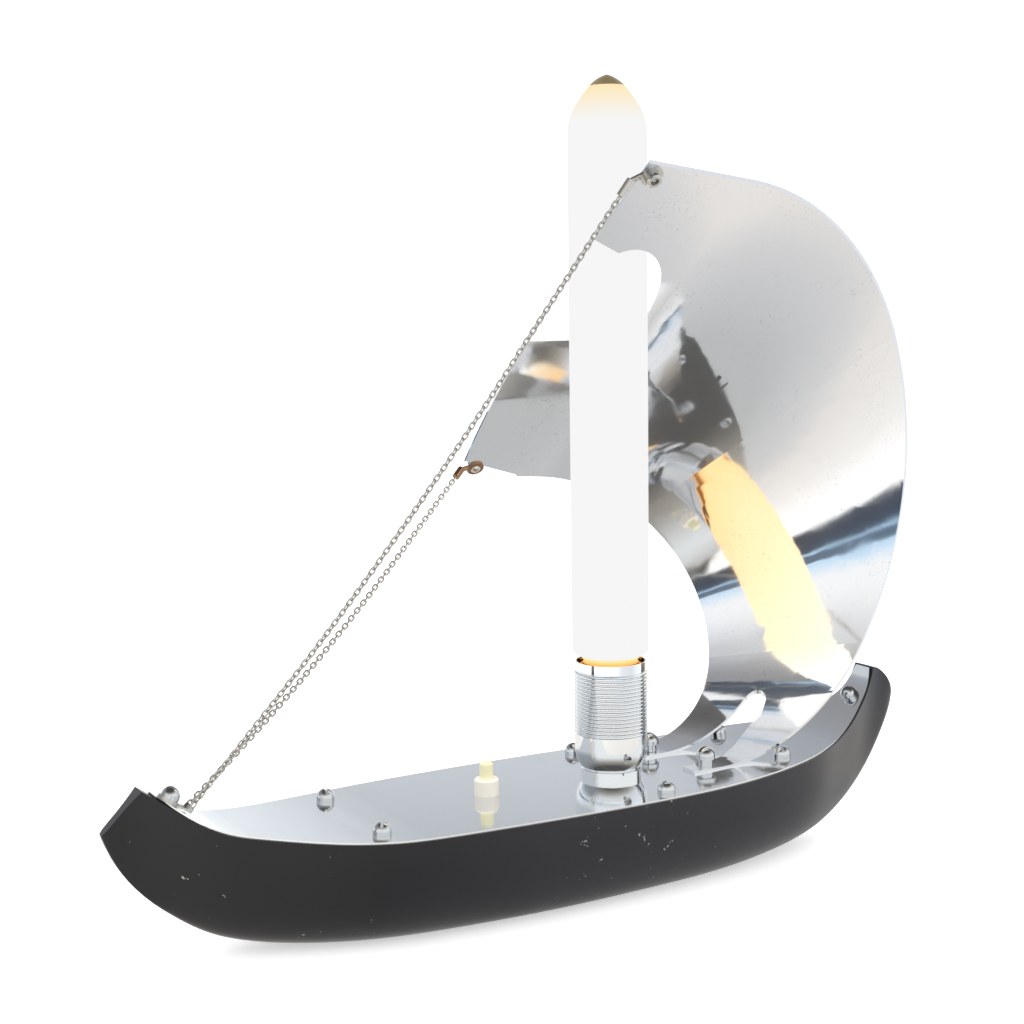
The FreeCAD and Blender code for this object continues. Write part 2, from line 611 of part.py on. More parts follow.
def hex_nut(label, flats, bore, thick):
    body = body_of(label)
    sketch = sketch_on(body, "XY_Plane", label + "_plan")
    corner = flats / math.sqrt(3)
    outline(sketch, [(corner * math.cos(math.radians(60 * k)), corner * math.sin(math.radians(60 * k)))
                     for k in range(6)])
    circle_in(sketch, 0, 0, bore)
    pad(body, sketch, label + "_pad", thick)
    return node(body, label)


nipple_nut = hex_nut("nipple_nut", 14.0, "nipple_radius", "nut_thick")
nipple_nut.Placement = at(size("lamp_station"), 0, size("cavity_roof - 1 - nut_thick"))

# ---------------------------------------------------------------- lamp

wall = size("glass_wall")
END_ARCS = (19.3, 52.9, 13.8)
END_TURNS = (31.2, 41.3)


def end_profile(inset):
    """The lamp's rounded end, from the full radius to the seal at its tip: (radius, height, arc)."""
    centre = (size("glass_radius") - END_ARCS[0], size("glass_full"))
    points = [(size("glass_radius") - inset, size("glass_full"))]
    for number, turn in enumerate(END_TURNS):
        radius = END_ARCS[number] - inset
        ray = (math.cos(math.radians(turn)), math.sin(math.radians(turn)))
        points.append((centre[0] + radius * ray[0], centre[1] + radius * ray[1], radius))
        step = END_ARCS[number + 1] - END_ARCS[number]
        centre = (centre[0] - step * ray[0], centre[1] - step * ray[1])
    tip_arc = END_ARCS[2] - inset
    return points, (1.0, centre[1] + math.sqrt(tip_arc ** 2 - (1.0 - centre[0]) ** 2), tip_arc)


outer_end, outer_tip = end_profile(0.0)
inner_end, inner_tip = end_profile(wall)
bend, half_turn = 3.04, math.radians(75)
knee = (size("cap_bore") + bend * (1 - math.cos(half_turn)), size("cap_top") + bend * math.sin(half_turn))
inner_knee = (knee[0] - wall * math.cos(half_turn), knee[1] + wall * math.sin(half_turn))
full_height = size("cap_top") + 2 * bend * math.sin(half_turn)
glass = on_lamp("bulb_glass", [
    (size("cap_bore") - wall, 76), ("cap_bore", 76), ("cap_bore", "cap_top"), (*knee, -bend),
    ("glass_radius", full_height, bend), *outer_end, inner_end[-1][:2],
    *[point for point in backwards(inner_end)[1:]], ("glass_radius - glass_wall", full_height),
    (*inner_knee, -(bend - wall)), (size("cap_bore") - wall, size("cap_top"), bend + wall)])
node(glass, "bulb_glass")
tip = on_lamp("bulb_tip", [outer_end[-1][:2], outer_tip, (0, outer_tip[1] + 0.3), (0, inner_tip[1] + 0.3),
                           inner_tip[:2], (*inner_end[-1][:2], -inner_tip[2])])
node(tip, "bulb_tip")
cap = on_lamp("cap_blank", [("cap_bore", "cap_foot"), ("cap_radius", "cap_foot"), ("cap_radius", "cap_top"),
                            ("cap_bore", "cap_top")])
pin_hole = cylinder("pin_hole", "pin_radius", 30,
                    at(size("lamp_station"), -15, size("pin_height"), ALONG_Y))
node(cut("cap_cut", cap, [pin_hole]), "bulb_cap")
pin = turned("bulb_pin", [(0, 0), ("pin_radius", 0), ("pin_radius", "pin_reach - cap_bore"),
                          (0, "pin_reach - cap_bore")])
copies("bulb_pins", pin, [
    at(size("lamp_station"), size("cap_bore"), size("pin_height"), ALONG_Y),
    at(size("lamp_station"), -size("cap_bore"), size("pin_height"), Rotation(Vector(1, 0, 0), 90))])
insulator = on_lamp("insulator_blank", [(0, "cap_foot"), ("cap_bore", "cap_foot"), ("cap_bore", 70), (0, 70)])
node(cut("insulator_cut", insulator, [
    cylinder(f"pad_hole_{number}", 2.2, 1.6, at(place.Base.x, 0, size("cap_foot")))
    for number, place in enumerate(CONTACTS, start=1)]), "bulb_insulator")
pad_body = turned("bulb_contact", [(0, "contact_top"), (2.2, "contact_top"), (2.2, "cap_foot + 1.6"),
                                   (0, "cap_foot + 1.6")])
copies("bulb_contacts", pad_body, CONTACTS)
stem = on_lamp("bulb_stem", [(0, 98), (2.2, 76.8), (size("cap_bore") - wall, 76), (size("cap_bore") - wall, 76.8),
                             (4.2, 82), (3.4, 100), (1.2, 112), (0, 112)])
node(stem, "bulb_stem")

# ---------------------------------------------------------------- switch

SWITCH = at(-size("switch_station"), 0, 0)


def on_switch(label, points):
    body = turned(label, points)
    body.Placement = SWITCH
    return body


node(on_switch("switch_collar", [
    ("bush_radius", "deck_top"), ("collar_radius", "deck_top"), ("collar_radius", 47.6), (4.1, "collar_top"),
    ("button_bore", "collar_top"), ("button_bore", 46.5), ("bush_radius", 46.5)]), "switch_collar")
node(on_switch("switch_plunger", [
    (0, 24.5), (3.4, 24.5), (3.4, 27), ("button_radius", 27), ("button_radius", 53.8),
    (1.8, "button_top"), (0, "button_top")]), "switch_plunger")
switch_blank = on_switch("switch_blank", [
    (0, "switch_foot"), ("switch_radius", "switch_foot"), ("switch_radius", "cavity_roof"),
    ("bush_radius", "cavity_roof"), ("bush_radius", 46.5), ("button_bore", 46.5), ("button_bore", 27),
    (6.2, 27), (6.2, 14), (0, 14)])
strips = []
for number, side in enumerate((-1, 1), start=1):
    strip_tool = doc.addObject("Part::Box", f"contact_slot_{number}")
    strip_tool.Length, strip_tool.Width, strip_tool.Height = 0.6, 3.0, 13.0
    strip_tool.Placement = at(-size("switch_station") + side * 4.7 - 0.3, -1.5, 7)
    strips.append(strip_tool)
node(cut("switch_cut", switch_blank, strips), "switch_body")
blade = doc.addObject("Part::Box", "contact_blade")
blade.Length, blade.Width, blade.Height = 0.6, 3.0, 13.0
copies("switch_contacts", blade, [strip_tool.Placement for strip_tool in strips])


def spring(name, radius, wire, foot, top, turns):
    """A coil spring along Z between two faces."""
    helix = doc.addObject("Part::Helix", name + "_helix")
    helix.Radius, helix.Height, helix.Pitch = radius, top - foot - wire, (top - foot - wire) / turns
    helix.Placement = at(0, 0, foot + wire / 2)
    section = doc.addObject("Part::Circle", name + "_section")
    section.Radius = wire / 2
    section.Placement = at(radius, 0, foot + wire / 2, Rotation(Vector(1, 0, 0), 90))
    coil = doc.addObject("Part::Sweep", name + "_coil")
    coil.Sections, coil.Spine, coil.Solid, coil.Frenet = [section], (helix, []), True, True
    return coil


coil = spring("switch_spring", 2.5, 0.5, 14.0, 24.5, 6)
coil.Placement = SWITCH
node(coil, "switch_spring")
contact_coil = spring("contact_spring", 1.4, 0.5, size("spring_floor"), size("contact_foot"), 3)
copies("contact_springs", contact_coil, CONTACTS)

# ---------------------------------------------------------------- sail

APEX = Vector(size("apex_station"), size("apex_side"), size("deck_top"))
PROFILE_PLANE = -50.0


def sail_section(name, plane):
    """Closed section of the sail across the Y axis: the cone's profile scaled about the apex."""
    scale = (APEX.y - plane) / (APEX.y - PROFILE_PLANE)
    thick = size("sail_thick")

    def walk(inset):
        here = run_on((APEX.x + (SAIL_RISE - APEX.x) * scale, APEX.z), 90, inset)
        points = [(APEX.x + (SAIL_TOE - APEX.x) * scale, here[1]), here]
        heading = 0.0
        for radius, turn in zip(SAIL_ARCS, SAIL_TURNS):
            arc = radius * scale - inset
            here = (here[0] + arc * (math.sin(math.radians(heading + turn)) - math.sin(math.radians(heading))),
                    here[1] + arc * (math.cos(math.radians(heading)) - math.cos(math.radians(heading + turn))))
            points.append((*here, arc))
            heading += turn
        return points + [run_on(here, heading, SAIL_TOP_RUN * scale)]

    sketch = free_sketch(name, Placement(Vector(0, plane, 0), SIDE_VIEW.Rotation))
    outline(sketch, walk(0.0) + backwards(walk(thick)))
    return sketch


sail_loft = doc.addObject("Part::Loft", "sail_cone")
sail_loft.Sections = [sail_section("sail_near", -60.0), sail_section("sail_far", 90.0)]
sail_loft.Solid, sail_loft.Ruled = True, True
kept_front = prism("sail_front", FRONT_VIEW, [
    (-17.67, 30), (24.9, 30), (24.9, 42), (72.3, 154.8, -422), (72.3, 300), (-47.64, 300)],
    Vector(1, 0, 0), 220, 60)
kept_side = prism("sail_side", SIDE_VIEW, [
    (45, 30), (220, 30), (220, 300), (24.6, 300), (23.8, 275.3), (12.2, 225.7, 640),
    (6.9, 162.2, 232), (33.8, 154.6), (45, 100)], Vector(0, 1, 0), 100, 60)
trimmed = common("sail_trimmed", common("sail_fronted", sail_loft, kept_front), kept_side)
notch = [cylinder("notch_round", "notch_radius", 150, at(37.5, -0.3, 150)),
         prism("notch_mouth", at(0, 0, 150), [(-10, 4), (-10, -22), (8, -21.5), (18.1, -18.7), (29.9, -15.6),
                                              (40, 0), (25.1, 12.7), (17.7, 7.7), (12.5, 5.7)],
               Vector(0, 0, 1), 150)]
feet_gap = prism("feet_gap", at(0, 0, 40), [
    (30, 45), (58, 45), (58, 11), (107, 11), (113, 5, -6), (112, 2, -4), (107, -1), (102, -0.6), (91.7, -4),
    (81.6, -8.9), (61.5, -10.5), (60.6, -30), (30, -30)], Vector(0, 0, 1), 30)
foot_ways = [cylinder(f"foot_way_{number}", "shank_radius", 20, at(place.Base.x, place.Base.y, 35))
             for number, place in enumerate(FOOT_SCREWS, start=1)]

TOP_HEADING = math.radians(sum(SAIL_TURNS))
ALONG_TOP = Vector(math.cos(TOP_HEADING), 0, math.sin(TOP_HEADING))


def top_of_arcs():
    """Where the profile's last arc ends, in the plane where the profile is drawn."""
    x, z, heading = SAIL_RISE, APEX.z, 0.0
    for radius, turn in zip(SAIL_ARCS, SAIL_TURNS):
        x += radius * (math.sin(math.radians(heading + turn)) - math.sin(math.radians(heading)))
        z += radius * (math.cos(math.radians(heading)) - math.cos(math.radians(heading + turn)))
        heading += turn
    return Vector(x, PROFILE_PLANE, z)


# The head of the sail is flat: the plane through the apex and the profile's last straight run.
TOP_NORMAL = (top_of_arcs() - APEX).cross(ALONG_TOP).normalize()
if TOP_NORMAL.z < 0:
    TOP_NORMAL = TOP_NORMAL * -1
SHEET = size("sail_thick") * TOP_NORMAL.dot(Vector(-ALONG_TOP.z, 0, ALONG_TOP.x) * -1)


def on_sheet(x, y, z):
    """The foot of a place on the outer face of the sail's flat head."""
    place = Vector(x, y, z)
    return place - TOP_NORMAL * TOP_NORMAL.dot(place - APEX)


HEAD_HOLE, TACK_HOLE = on_sheet(26.8, -40.8, 270.9), on_sheet(12.8, 69.6, 159.6)
OUTWARD, INWARD = Rotation(Vector(0, 0, 1), TOP_NORMAL), Rotation(Vector(0, 0, 1), TOP_NORMAL * -1)
corner_ways = [cylinder("head_way", 1.5, 8, Placement(HEAD_HOLE + TOP_NORMAL * 4, INWARD)),
               cylinder("tack_way", 1.2, 8, Placement(TACK_HOLE + TOP_NORMAL * 4, INWARD))]
deck_way = prism("deck_way", SIDE_VIEW, PLATE + [(PLATE[-1][0], 20), (PLATE[0][0], 20)],
                 Vector(0, 1, 0), 100, 100)
node(cut("sail_cut", trimmed, notch + [feet_gap, deck_way] + foot_ways + corner_ways), "sail")

# ---------------------------------------------------------------- chains and their tags


def sagging(start, end, drops):
    """A chain's route: places along the straight line, each let down by its drop."""
    return [start] + [start + (end - start) * share - Vector(0, 0, drop) for share, drop in drops] + [end]


HEAD_CHAIN = sagging(Vector(13.0, -42.0, 262.6), on_deck(-139.6, -1.6, 2.6).Base,
                     ((0.16, 2.6), (0.38, 7.2), (0.66, 7.5), (0.86, 3.2)))
TACK_CHAIN = sagging(Vector(2.2, 66.2, 156.0), on_deck(-139.6, 1.6, 2.6).Base,
                     ((0.15, 2.2), (0.37, 5.0), (0.63, 5.2), (0.85, 2.6)))


def route_tube(label, places, diameter):
    """A round tube along straight runs joined by tangent arcs; prints the arcs' radii."""
    edges, radii, start = [], [], places[0]
    for before, corner, after in zip(places, places[1:], places[2:]):
        way_in, way_out = (corner - before), (after - corner)
        reach = 0.45 * min(way_in.Length, way_out.Length)
        half = way_in.getAngle(way_out) / 2
        radius = reach / math.tan(half)
        way_in.normalize()
        way_out.normalize()
        middle = corner + (way_out - way_in).normalize() * (radius / math.cos(half) - radius)
        edges.append(Part.LineSegment(start, corner - way_in * reach).toShape())
        start = corner + way_out * reach
        edges.append(Part.Arc(corner - way_in * reach, middle, start).toShape())
        radii.append(round(radius, 2))
    edges.append(Part.LineSegment(start, places[-1]).toShape())
    spine = fixed_shape(label + "_route", Part.Wire(edges))
    section = doc.addObject("Part::Circle", label + "_section")
    section.setExpression("Radius", bound(diameter) + " / 2")
    section.Placement = Placement(places[0], Rotation(Vector(0, 0, 1), places[1] - places[0]))
    tube = doc.addObject("Part::Sweep", label + "_tube")
    tube.Sections, tube.Spine, tube.Solid, tube.Frenet = [section], (spine, []), True, False
    doc.recompute()
    expected = math.pi * size(diameter) ** 2 / 4 * spine.Shape.Length
    print(label, "radii", radii, "length", round(spine.Shape.Length, 1),
          "volume ratio", round(tube.Shape.Volume / expected, 4))
    return node(tube, label)


def strip_between(name, start, end, flat, width):
    """A strip of tag metal between two places, its flat side facing a direction."""
    box = doc.addObject("Part::Box", name)
    box.setExpression("Height", "<<dims>>.tag_thick")
    box.Length, box.Width = (end - start).Length, width
    along = (end - start).normalize()
    turn = Rotation(along, flat.cross(along), flat, "XZY")
    box.Placement = Placement(start - turn.multVec(Vector(0, width / 2, size("tag_thick") / 2)), turn)
    return box


def tag(name, hole, facing, ring, bore, barrel, barrel_radius, chain_end, pull):
    """A crimp tag: a ring on a fixing, a strip, and a barrel whose end meets the chain."""
    middle = hole + facing * (size("tag_thick") / 2)
    root = chain_end - pull * barrel
    sideways = root - middle
    rim = middle + (sideways - facing * facing.dot(sideways)).normalize() * (ring - 0.35)
    turn = Rotation(Vector(0, 0, 1), facing)
    disc = cylinder(name + "_ring", ring, "tag_thick", Placement(hole, turn))
    blank = fused(name + "_blank", [
        disc, strip_between(name + "_strip", rim, root + pull * 0.6, facing, 2.8),
        cylinder(name + "_barrel", barrel_radius, barrel, Placement(root, Rotation(Vector(0, 0, 1), pull)))])
    way = Placement(hole - facing * 2, turn)
    return cut(name + "_cut", blank, [cylinder(name + "_way", bore, 6, way)])


def heading(places):
    return (places[1] - places[0]).normalize()


inner_head, inner_tack = HEAD_HOLE - TOP_NORMAL * SHEET, TACK_HOLE - TOP_NORMAL * SHEET
down = TOP_NORMAL * -1
node(tag("head_tag", inner_head, down, 4.25, 1.5, 7.0, 1.6, HEAD_CHAIN[0], heading(HEAD_CHAIN)), "head_tag")
node(tag("tack_tag", inner_tack, down, 3.6, 1.2, 5.0, 1.5, TACK_CHAIN[0], heading(TACK_CHAIN)), "tack_tag")
bow_pieces = []
for number, places in enumerate((HEAD_CHAIN, TACK_CHAIN)):
    seat_place = on_deck(-146.5, 0.0, number * size("tag_thick"))
    upward = seat_place.Rotation.multVec(Vector(0, 0, 1))
    bow_pieces.append(tag(f"bow_tag_{number + 1}", seat_place.Base, upward, 4.0, "shank_radius", 1.9, 1.3,
                          places[-1], heading(places[::-1])))
group = doc.addObject("Part::Compound", "bow_tag_pair")
group.Links = bow_pieces
node(group, "bow_tags")

stack = SHEET + size("tag_thick")
head_bolt = round_screw("head_bolt", 2.8, 1.6, 1.5, stack + 2.9)
head_bolt.Placement = Placement(HEAD_HOLE, OUTWARD)
node(head_bolt, "head_bolt")
head_nut = turned("head_nut", [(1.5, 0), (2.9, 0), (2.9, 2.6), (2.5, 3.0), (1.5, 3.0)])
head_nut.Placement = Placement(inner_head + down * size("tag_thick"), INWARD)
node(head_nut, "head_nut")
tack_screw = round_screw("tack_screw", 2.0, 1.2, 1.2, stack + 2.6)
tack_screw.Placement = Placement(inner_tack + down * size("tag_thick"), INWARD)
node(tack_screw, "tack_screw")
tack_nut = hex_nut("tack_nut", 4.6, 1.2, 1.8)
tack_nut.Placement = Placement(TACK_HOLE, OUTWARD)

route_tube("chain_head", HEAD_CHAIN, "chain_diameter")
route_tube("chain_tack", TACK_CHAIN, "chain_diameter")

# ---------------------------------------------------------------- wiring

block = doc.addObject("Part::Box", "block_blank")
block.Length, block.Width, block.Height = 16, 14, 10
block.Placement = at(-6, -7, 20)
entries = [cylinder(f"block_entry_{number}", 1.3, 6, at(x, 2, 25, ALONG_Y))
           for number, x in enumerate((-2, 6), start=1)]
node(cut("block_cut", block, entries), "terminal_block")

lamp_x, switch_x = size("lamp_station"), -size("switch_station")
up_to_post = [(1.3, 0, 45.8), (4.2, 0, 49.8), (4.2, 0, 52.5)]
route_tube("lead_live", [Vector(*place) for place in (
    (-6, 3, 25), (-10.5, 3, 25), (-10.5, 0, 9), (switch_x + 5.0, 0, 9))], "lead_diameter")
route_tube("lead_switched", [Vector(*place) for place in (
    (switch_x - 5.0, 0, 9), (-31, 0, 9), (-29, 9.5, 8), (20, 9.5, 8), (lamp_x - 1.3, 0, 14),
    *((lamp_x - x, y, z) for x, y, z in up_to_post))], "lead_diameter")
route_tube("lead_neutral", [Vector(*place) for place in (
    (10, -3, 25), (16, -3, 25), (22, -4, 12), (lamp_x + 1.3, 0, 12),
    *((lamp_x + x, y, z) for x, y, z in up_to_post))], "lead_diameter")
route_tube("bulb_filament", [Vector(lamp_x + x, 0, z) for x, z in (
    (1.0, 112), (1.0, 114), (5.0, 126), (5.5, 255), (-5.5, 255), (-5.0, 126), (-1.0, 114), (-1.0, 112))], "filament_diameter")

# ---------------------------------------------------------------- checks and export

doc.recompute()
faults = [f"{thing.Label}: {thing.State}" for thing in doc.Objects
          if {"Invalid", "Error"} & set(thing.State)]
for piece in NODES:
    if piece.Shape.isNull() or not piece.Shape.isValid() or not piece.Shape.Solids:
        faults.append(f"{piece.Label}: unsound shape")
if faults:
    raise RuntimeError("; ".join(faults))

os.makedirs("parts", exist_ok=True)
for piece in NODES:
    piece.Shape.exportStep(f"parts/{piece.Label}.step")
    box = piece.Shape.BoundBox
    print(f"{piece.Label:18s} solids {len(piece.Shape.Solids)} volume {piece.Shape.Volume:10.1f}",
          f"x {box.XMin:7.1f} {box.XMax:7.1f} y {box.YMin:6.1f} {box.YMax:6.1f} z {box.ZMin:6.1f} {box.ZMax:6.1f}")
print(len(NODES), "pieces")
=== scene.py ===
import math

import bpy
from mathutils import Matrix, Vector


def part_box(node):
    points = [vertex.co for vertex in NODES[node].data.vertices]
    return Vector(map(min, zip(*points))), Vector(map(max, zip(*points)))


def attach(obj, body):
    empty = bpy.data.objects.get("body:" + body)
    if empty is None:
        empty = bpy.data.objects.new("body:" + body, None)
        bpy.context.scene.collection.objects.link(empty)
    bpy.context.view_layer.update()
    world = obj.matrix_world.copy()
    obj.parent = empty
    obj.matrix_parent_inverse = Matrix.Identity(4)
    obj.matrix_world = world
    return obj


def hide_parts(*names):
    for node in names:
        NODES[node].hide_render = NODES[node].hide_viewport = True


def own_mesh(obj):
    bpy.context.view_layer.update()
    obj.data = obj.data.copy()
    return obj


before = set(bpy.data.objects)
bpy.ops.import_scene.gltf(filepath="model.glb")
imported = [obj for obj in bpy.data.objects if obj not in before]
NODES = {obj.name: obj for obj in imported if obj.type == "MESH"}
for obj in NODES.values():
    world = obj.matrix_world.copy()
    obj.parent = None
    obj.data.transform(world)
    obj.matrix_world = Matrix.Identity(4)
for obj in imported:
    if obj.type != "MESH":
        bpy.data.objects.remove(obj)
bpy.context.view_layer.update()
scene = bpy.context.scene
scene.view_settings.view_transform = "Standard"
scene.view_settings.look = "None"

MM = 0.001
LAMP = sum((Vector(corner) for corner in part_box("bulb_glass")), Vector()) / 2


# ---------------------------------------------------------------- camera


CAMERA_PLACE = (-0.3273, -0.5687, 0.2273)
AZIMUTH, ELEVATION, ROLL = -29.16, 8.15, -0.86


def camera():
    """The photograph's view: from the near side ahead of the bow, a little above the deck."""
    azimuth, elevation, roll = (math.radians(angle) for angle in (AZIMUTH, ELEVATION, ROLL))
    away = Vector((-math.sin(azimuth) * math.cos(elevation), math.cos(azimuth) * math.cos(elevation),
                   -math.sin(elevation)))
    level = Vector((math.cos(azimuth), math.sin(azimuth), 0))
    upright = level.cross(away)
    right = level * math.cos(roll) + upright * math.sin(roll)
    up = upright * math.cos(roll) - level * math.sin(roll)
    data = bpy.data.cameras.new("camera")
    data.lens, data.sensor_width = 61.65, 36.0
    data.shift_x, data.shift_y = 0.0023, 0.0385
    made = bpy.data.objects.new("camera", data)
    scene.collection.objects.link(made)
    turned = Matrix((right, up, -away)).transposed().to_4x4()
    made.matrix_world = Matrix.Translation(CAMERA_PLACE) @ turned
    return made


scene.camera = camera()


# ---------------------------------------------------------------- node graphs


class Graph:
    """A node graph, with the helpers that the finishes and the room share."""

    def __init__(self, tree, coordinates):
        self.tree = tree
        self.where = tree.nodes.new("ShaderNodeTexCoord").outputs[coordinates]

    def node(self, kind, inputs=None, **settings):
        made = self.tree.nodes.new(kind)
        for key, value in settings.items():
            setattr(made, key, value)
        for key, value in (inputs or {}).items():
            self.feed(made.inputs[key], value)
        return made

    def feed(self, socket, value):
        if isinstance(value, bpy.types.NodeSocket):
            self.tree.links.new(value, socket)
        else:
            socket.default_value = value

    def noise(self, scale, detail=4.0, roughness=0.55, stretch=(1, 1, 1), offset=(0, 0, 0)):
        place = self.node("ShaderNodeMapping", {"Vector": self.where, "Scale": stretch, "Location": offset})
        return self.node("ShaderNodeTexNoise", {"Vector": place.outputs[0], "Scale": scale, "Detail": detail,
                                                "Roughness": roughness}).outputs[0]

    def ramp(self, value, *stops):
        made = self.node("ShaderNodeValToRGB", {"Fac": value})
        elements = made.color_ramp.elements
        while len(elements) < len(stops):
            elements.new(0.5)
        for element, (position, colour) in zip(elements, stops):
            element.position = position
            element.color = (*colour, 1) if isinstance(colour, tuple) else (colour, colour, colour, 1)
        return made.outputs[0]

    def mix(self, factor, one, other):
        made = self.node("ShaderNodeMix", data_type="RGBA")
        for index, value in ((0, factor), (6, one), (7, other)):
            if isinstance(value, tuple):
                value = (*value, 1)
            self.feed(made.inputs[index], value)
        return made.outputs[2]

    def maths(self, operation, *values):
        made = self.node("ShaderNodeMath", operation=operation)
        for index, value in enumerate(values):
            self.feed(made.inputs[index], value)
        return made.outputs[0]

    def part(self, axis):
        """One coordinate of the place, in metres: 0 along the hull, 1 across it and 2 upwards."""
        return self.node("ShaderNodeSeparateXYZ", {"Vector": self.where}).outputs[axis]

    def apart(self, point, scale=(1, 1, 1)):
        """The distance to a point, in metres, with each axis scaled first."""
        place = self.node("ShaderNodeMapping", {"Vector": self.where, "Scale": scale}).outputs[0]
        return self.node("ShaderNodeVectorMath", {0: place, 1: point},
                         operation="DISTANCE").outputs["Value"]

    def where_mirrored(self, otherwise, mirrored):
        """The second shader for rays that a mirror sends on, and the first for all others."""
        path = self.node("ShaderNodeLightPath")
        return self.node("ShaderNodeMixShader", {0: path.outputs["Is Glossy Ray"], 1: otherwise.outputs[0],
                                                 2: mirrored.outputs[0]})


class Finish(Graph):
    """One material's graph, with a Principled shader at its end."""

    def __init__(self, name):
        self.material = bpy.data.materials.new(name)
        self.material.use_nodes = True
        super().__init__(self.material.node_tree, "Object")
        self.shader = self.tree.nodes["Principled BSDF"]

    def set(self, **values):
        for name, value in values.items():
            self.feed(self.shader.inputs[name.replace("_", " ")], value)

    def end(self, shader):
        self.feed(self.tree.nodes["Material Output"].inputs["Surface"], shader.outputs[0])

    def bump(self, height, distance, strength=1.0):
        made = self.node("ShaderNodeBump", {"Height": height, "Distance": distance, "Strength": strength})
        self.feed(self.shader.inputs["Normal"], made.outputs[0])


def plated(name, tint, rough, haze, scratch, wave=0.0, bloom=0.10):
    """Bright plate: scratches along the hull, a little haze and specks in patches, a slow wave in thin
    sheet, and a faint bloom round whatever bright thing it mirrors."""
    graph = Finish(name)
    graph.set(Metallic=1.0)
    patches = graph.ramp(graph.noise(38.0, 5.0), (0.42, 0.0), (0.72, 1.0))
    specks = graph.ramp(graph.noise(900.0, 2.0, 0.7), (0.60, 0.0), (0.72, 1.0))
    soiled = graph.maths("MULTIPLY", patches, specks)
    graph.set(Base_Color=graph.mix(soiled, tint, tuple(0.62 * part for part in tint)))
    lines = graph.noise(60.0, 3.0, 0.6, stretch=(1.5, 40.0, 40.0))
    worn = graph.maths("MULTIPLY_ADD", patches, haze, rough)
    graph.set(Roughness=graph.maths("MULTIPLY_ADD", graph.ramp(lines, (0.5, 0.0), (0.8, 1.0)), scratch, worn))
    if wave:
        graph.bump(graph.noise(14.0, 1.0, 0.4), wave)
    veil = graph.node("ShaderNodeBsdfGlossy", {"Color": (*tint, 1), "Roughness": 0.34})
    both = graph.node("ShaderNodeMixShader", {0: bloom, 1: graph.shader.outputs[0], 2: veil.outputs[0]})
    graph.end(both)
    return graph


CHROME = (0.80, 0.82, 0.84)


def lacquer():
    """Black gloss lacquer on wood: soft sheen, faint brush lines, a painted sheen that makes the base colour
    paler towards the stern, with small pale chips in patches and more of them where the near side was
    knocked, below the holder."""
    graph = Finish("black_lacquer")
    grain = graph.noise(18.0, 6.0, 0.6, stretch=(0.25, 2.0, 3.0))
    chips = graph.ramp(graph.noise(260.0, 3.0, 0.75), (0.715, 0.0), (0.73, 1.0))
    zones = graph.ramp(graph.noise(9.0, 2.0, 0.5, offset=(3.1, 0.4, 0.2)), (0.46, 0.0), (0.58, 1.0))
    knocks = graph.ramp(graph.noise(190.0, 4.0, 0.8), (0.655, 0.0), (0.675, 1.0))
    knocked = graph.ramp(graph.maths("MULTIPLY", graph.apart((0.018, -0.041, 0.024)), 10.0),
                         (0.18, 1.0), (0.36, 0.0))
    chipped = graph.maths("MAXIMUM", graph.maths("MULTIPLY", chips, zones),
                          graph.maths("MULTIPLY", knocks, knocked))
    # Painted sheen: the base colour grows paler from mid-hull towards the stern, standing in for the brighter
    # reflection the lacquer shows there.
    painted_stern_sheen = graph.ramp(graph.maths("MULTIPLY_ADD", graph.part(0), 2.5, 0.5), (0.30, 0.0), (0.46, 0.8),
                       (0.9, 1.0))
    black = graph.mix(grain, (0.003, 0.003, 0.005), (0.006, 0.006, 0.009))
    black = graph.mix(painted_stern_sheen, black, (0.022, 0.021, 0.026))
    graph.set(Base_Color=graph.mix(chipped, black, (0.34, 0.31, 0.28)))
    cloudy = graph.noise(7.0, 4.0, 0.6)
    rough = graph.maths("MULTIPLY_ADD", cloudy, 0.16, 0.24)
    graph.set(Roughness=graph.maths("MULTIPLY_ADD", chipped, 0.4, rough), Coat_Weight=0.22,
              Coat_Roughness=0.10, IOR=1.37)
    graph.bump(graph.maths("MULTIPLY_ADD", chipped, -0.6, grain), 0.00012, 0.35)
    return graph.material


def holder_plate():
    """The lampholder's plate, with its inside left as bare brass."""
    tint = (0.86, 0.88, 0.90)
    graph = plated("holder_chrome", tint, 0.03, 0.04, 0.02, bloom=0.04)
    out = graph.apart((LAMP.x, LAMP.y, 0), scale=(1, 1, 0))
    inside = graph.maths("MULTIPLY", graph.maths("LESS_THAN", out, 0.0136),
                         graph.maths("GREATER_THAN", graph.part(2), 0.055))
    graph.set(Base_Color=graph.mix(inside, tint, (0.86, 0.60, 0.22)))
    return graph.material


def plain(name, colour, rough, metal=0.0, other=None, scale=60.0, bump=0.0):
    """A moulded, turned or woven surface with its own mottle, rougher and darker where it is soiled."""
    graph = Finish(name)
    mottle = graph.noise(scale, 5.0, 0.6)
    darker = other or tuple(0.7 * part for part in colour)
    graph.set(Base_Color=graph.mix(mottle, colour, darker), Metallic=metal,
              Roughness=graph.maths("MULTIPLY_ADD", mottle, 0.2, rough))
    if bump:
        graph.bump(graph.noise(scale * 4, 3.0), bump)
    return graph.material


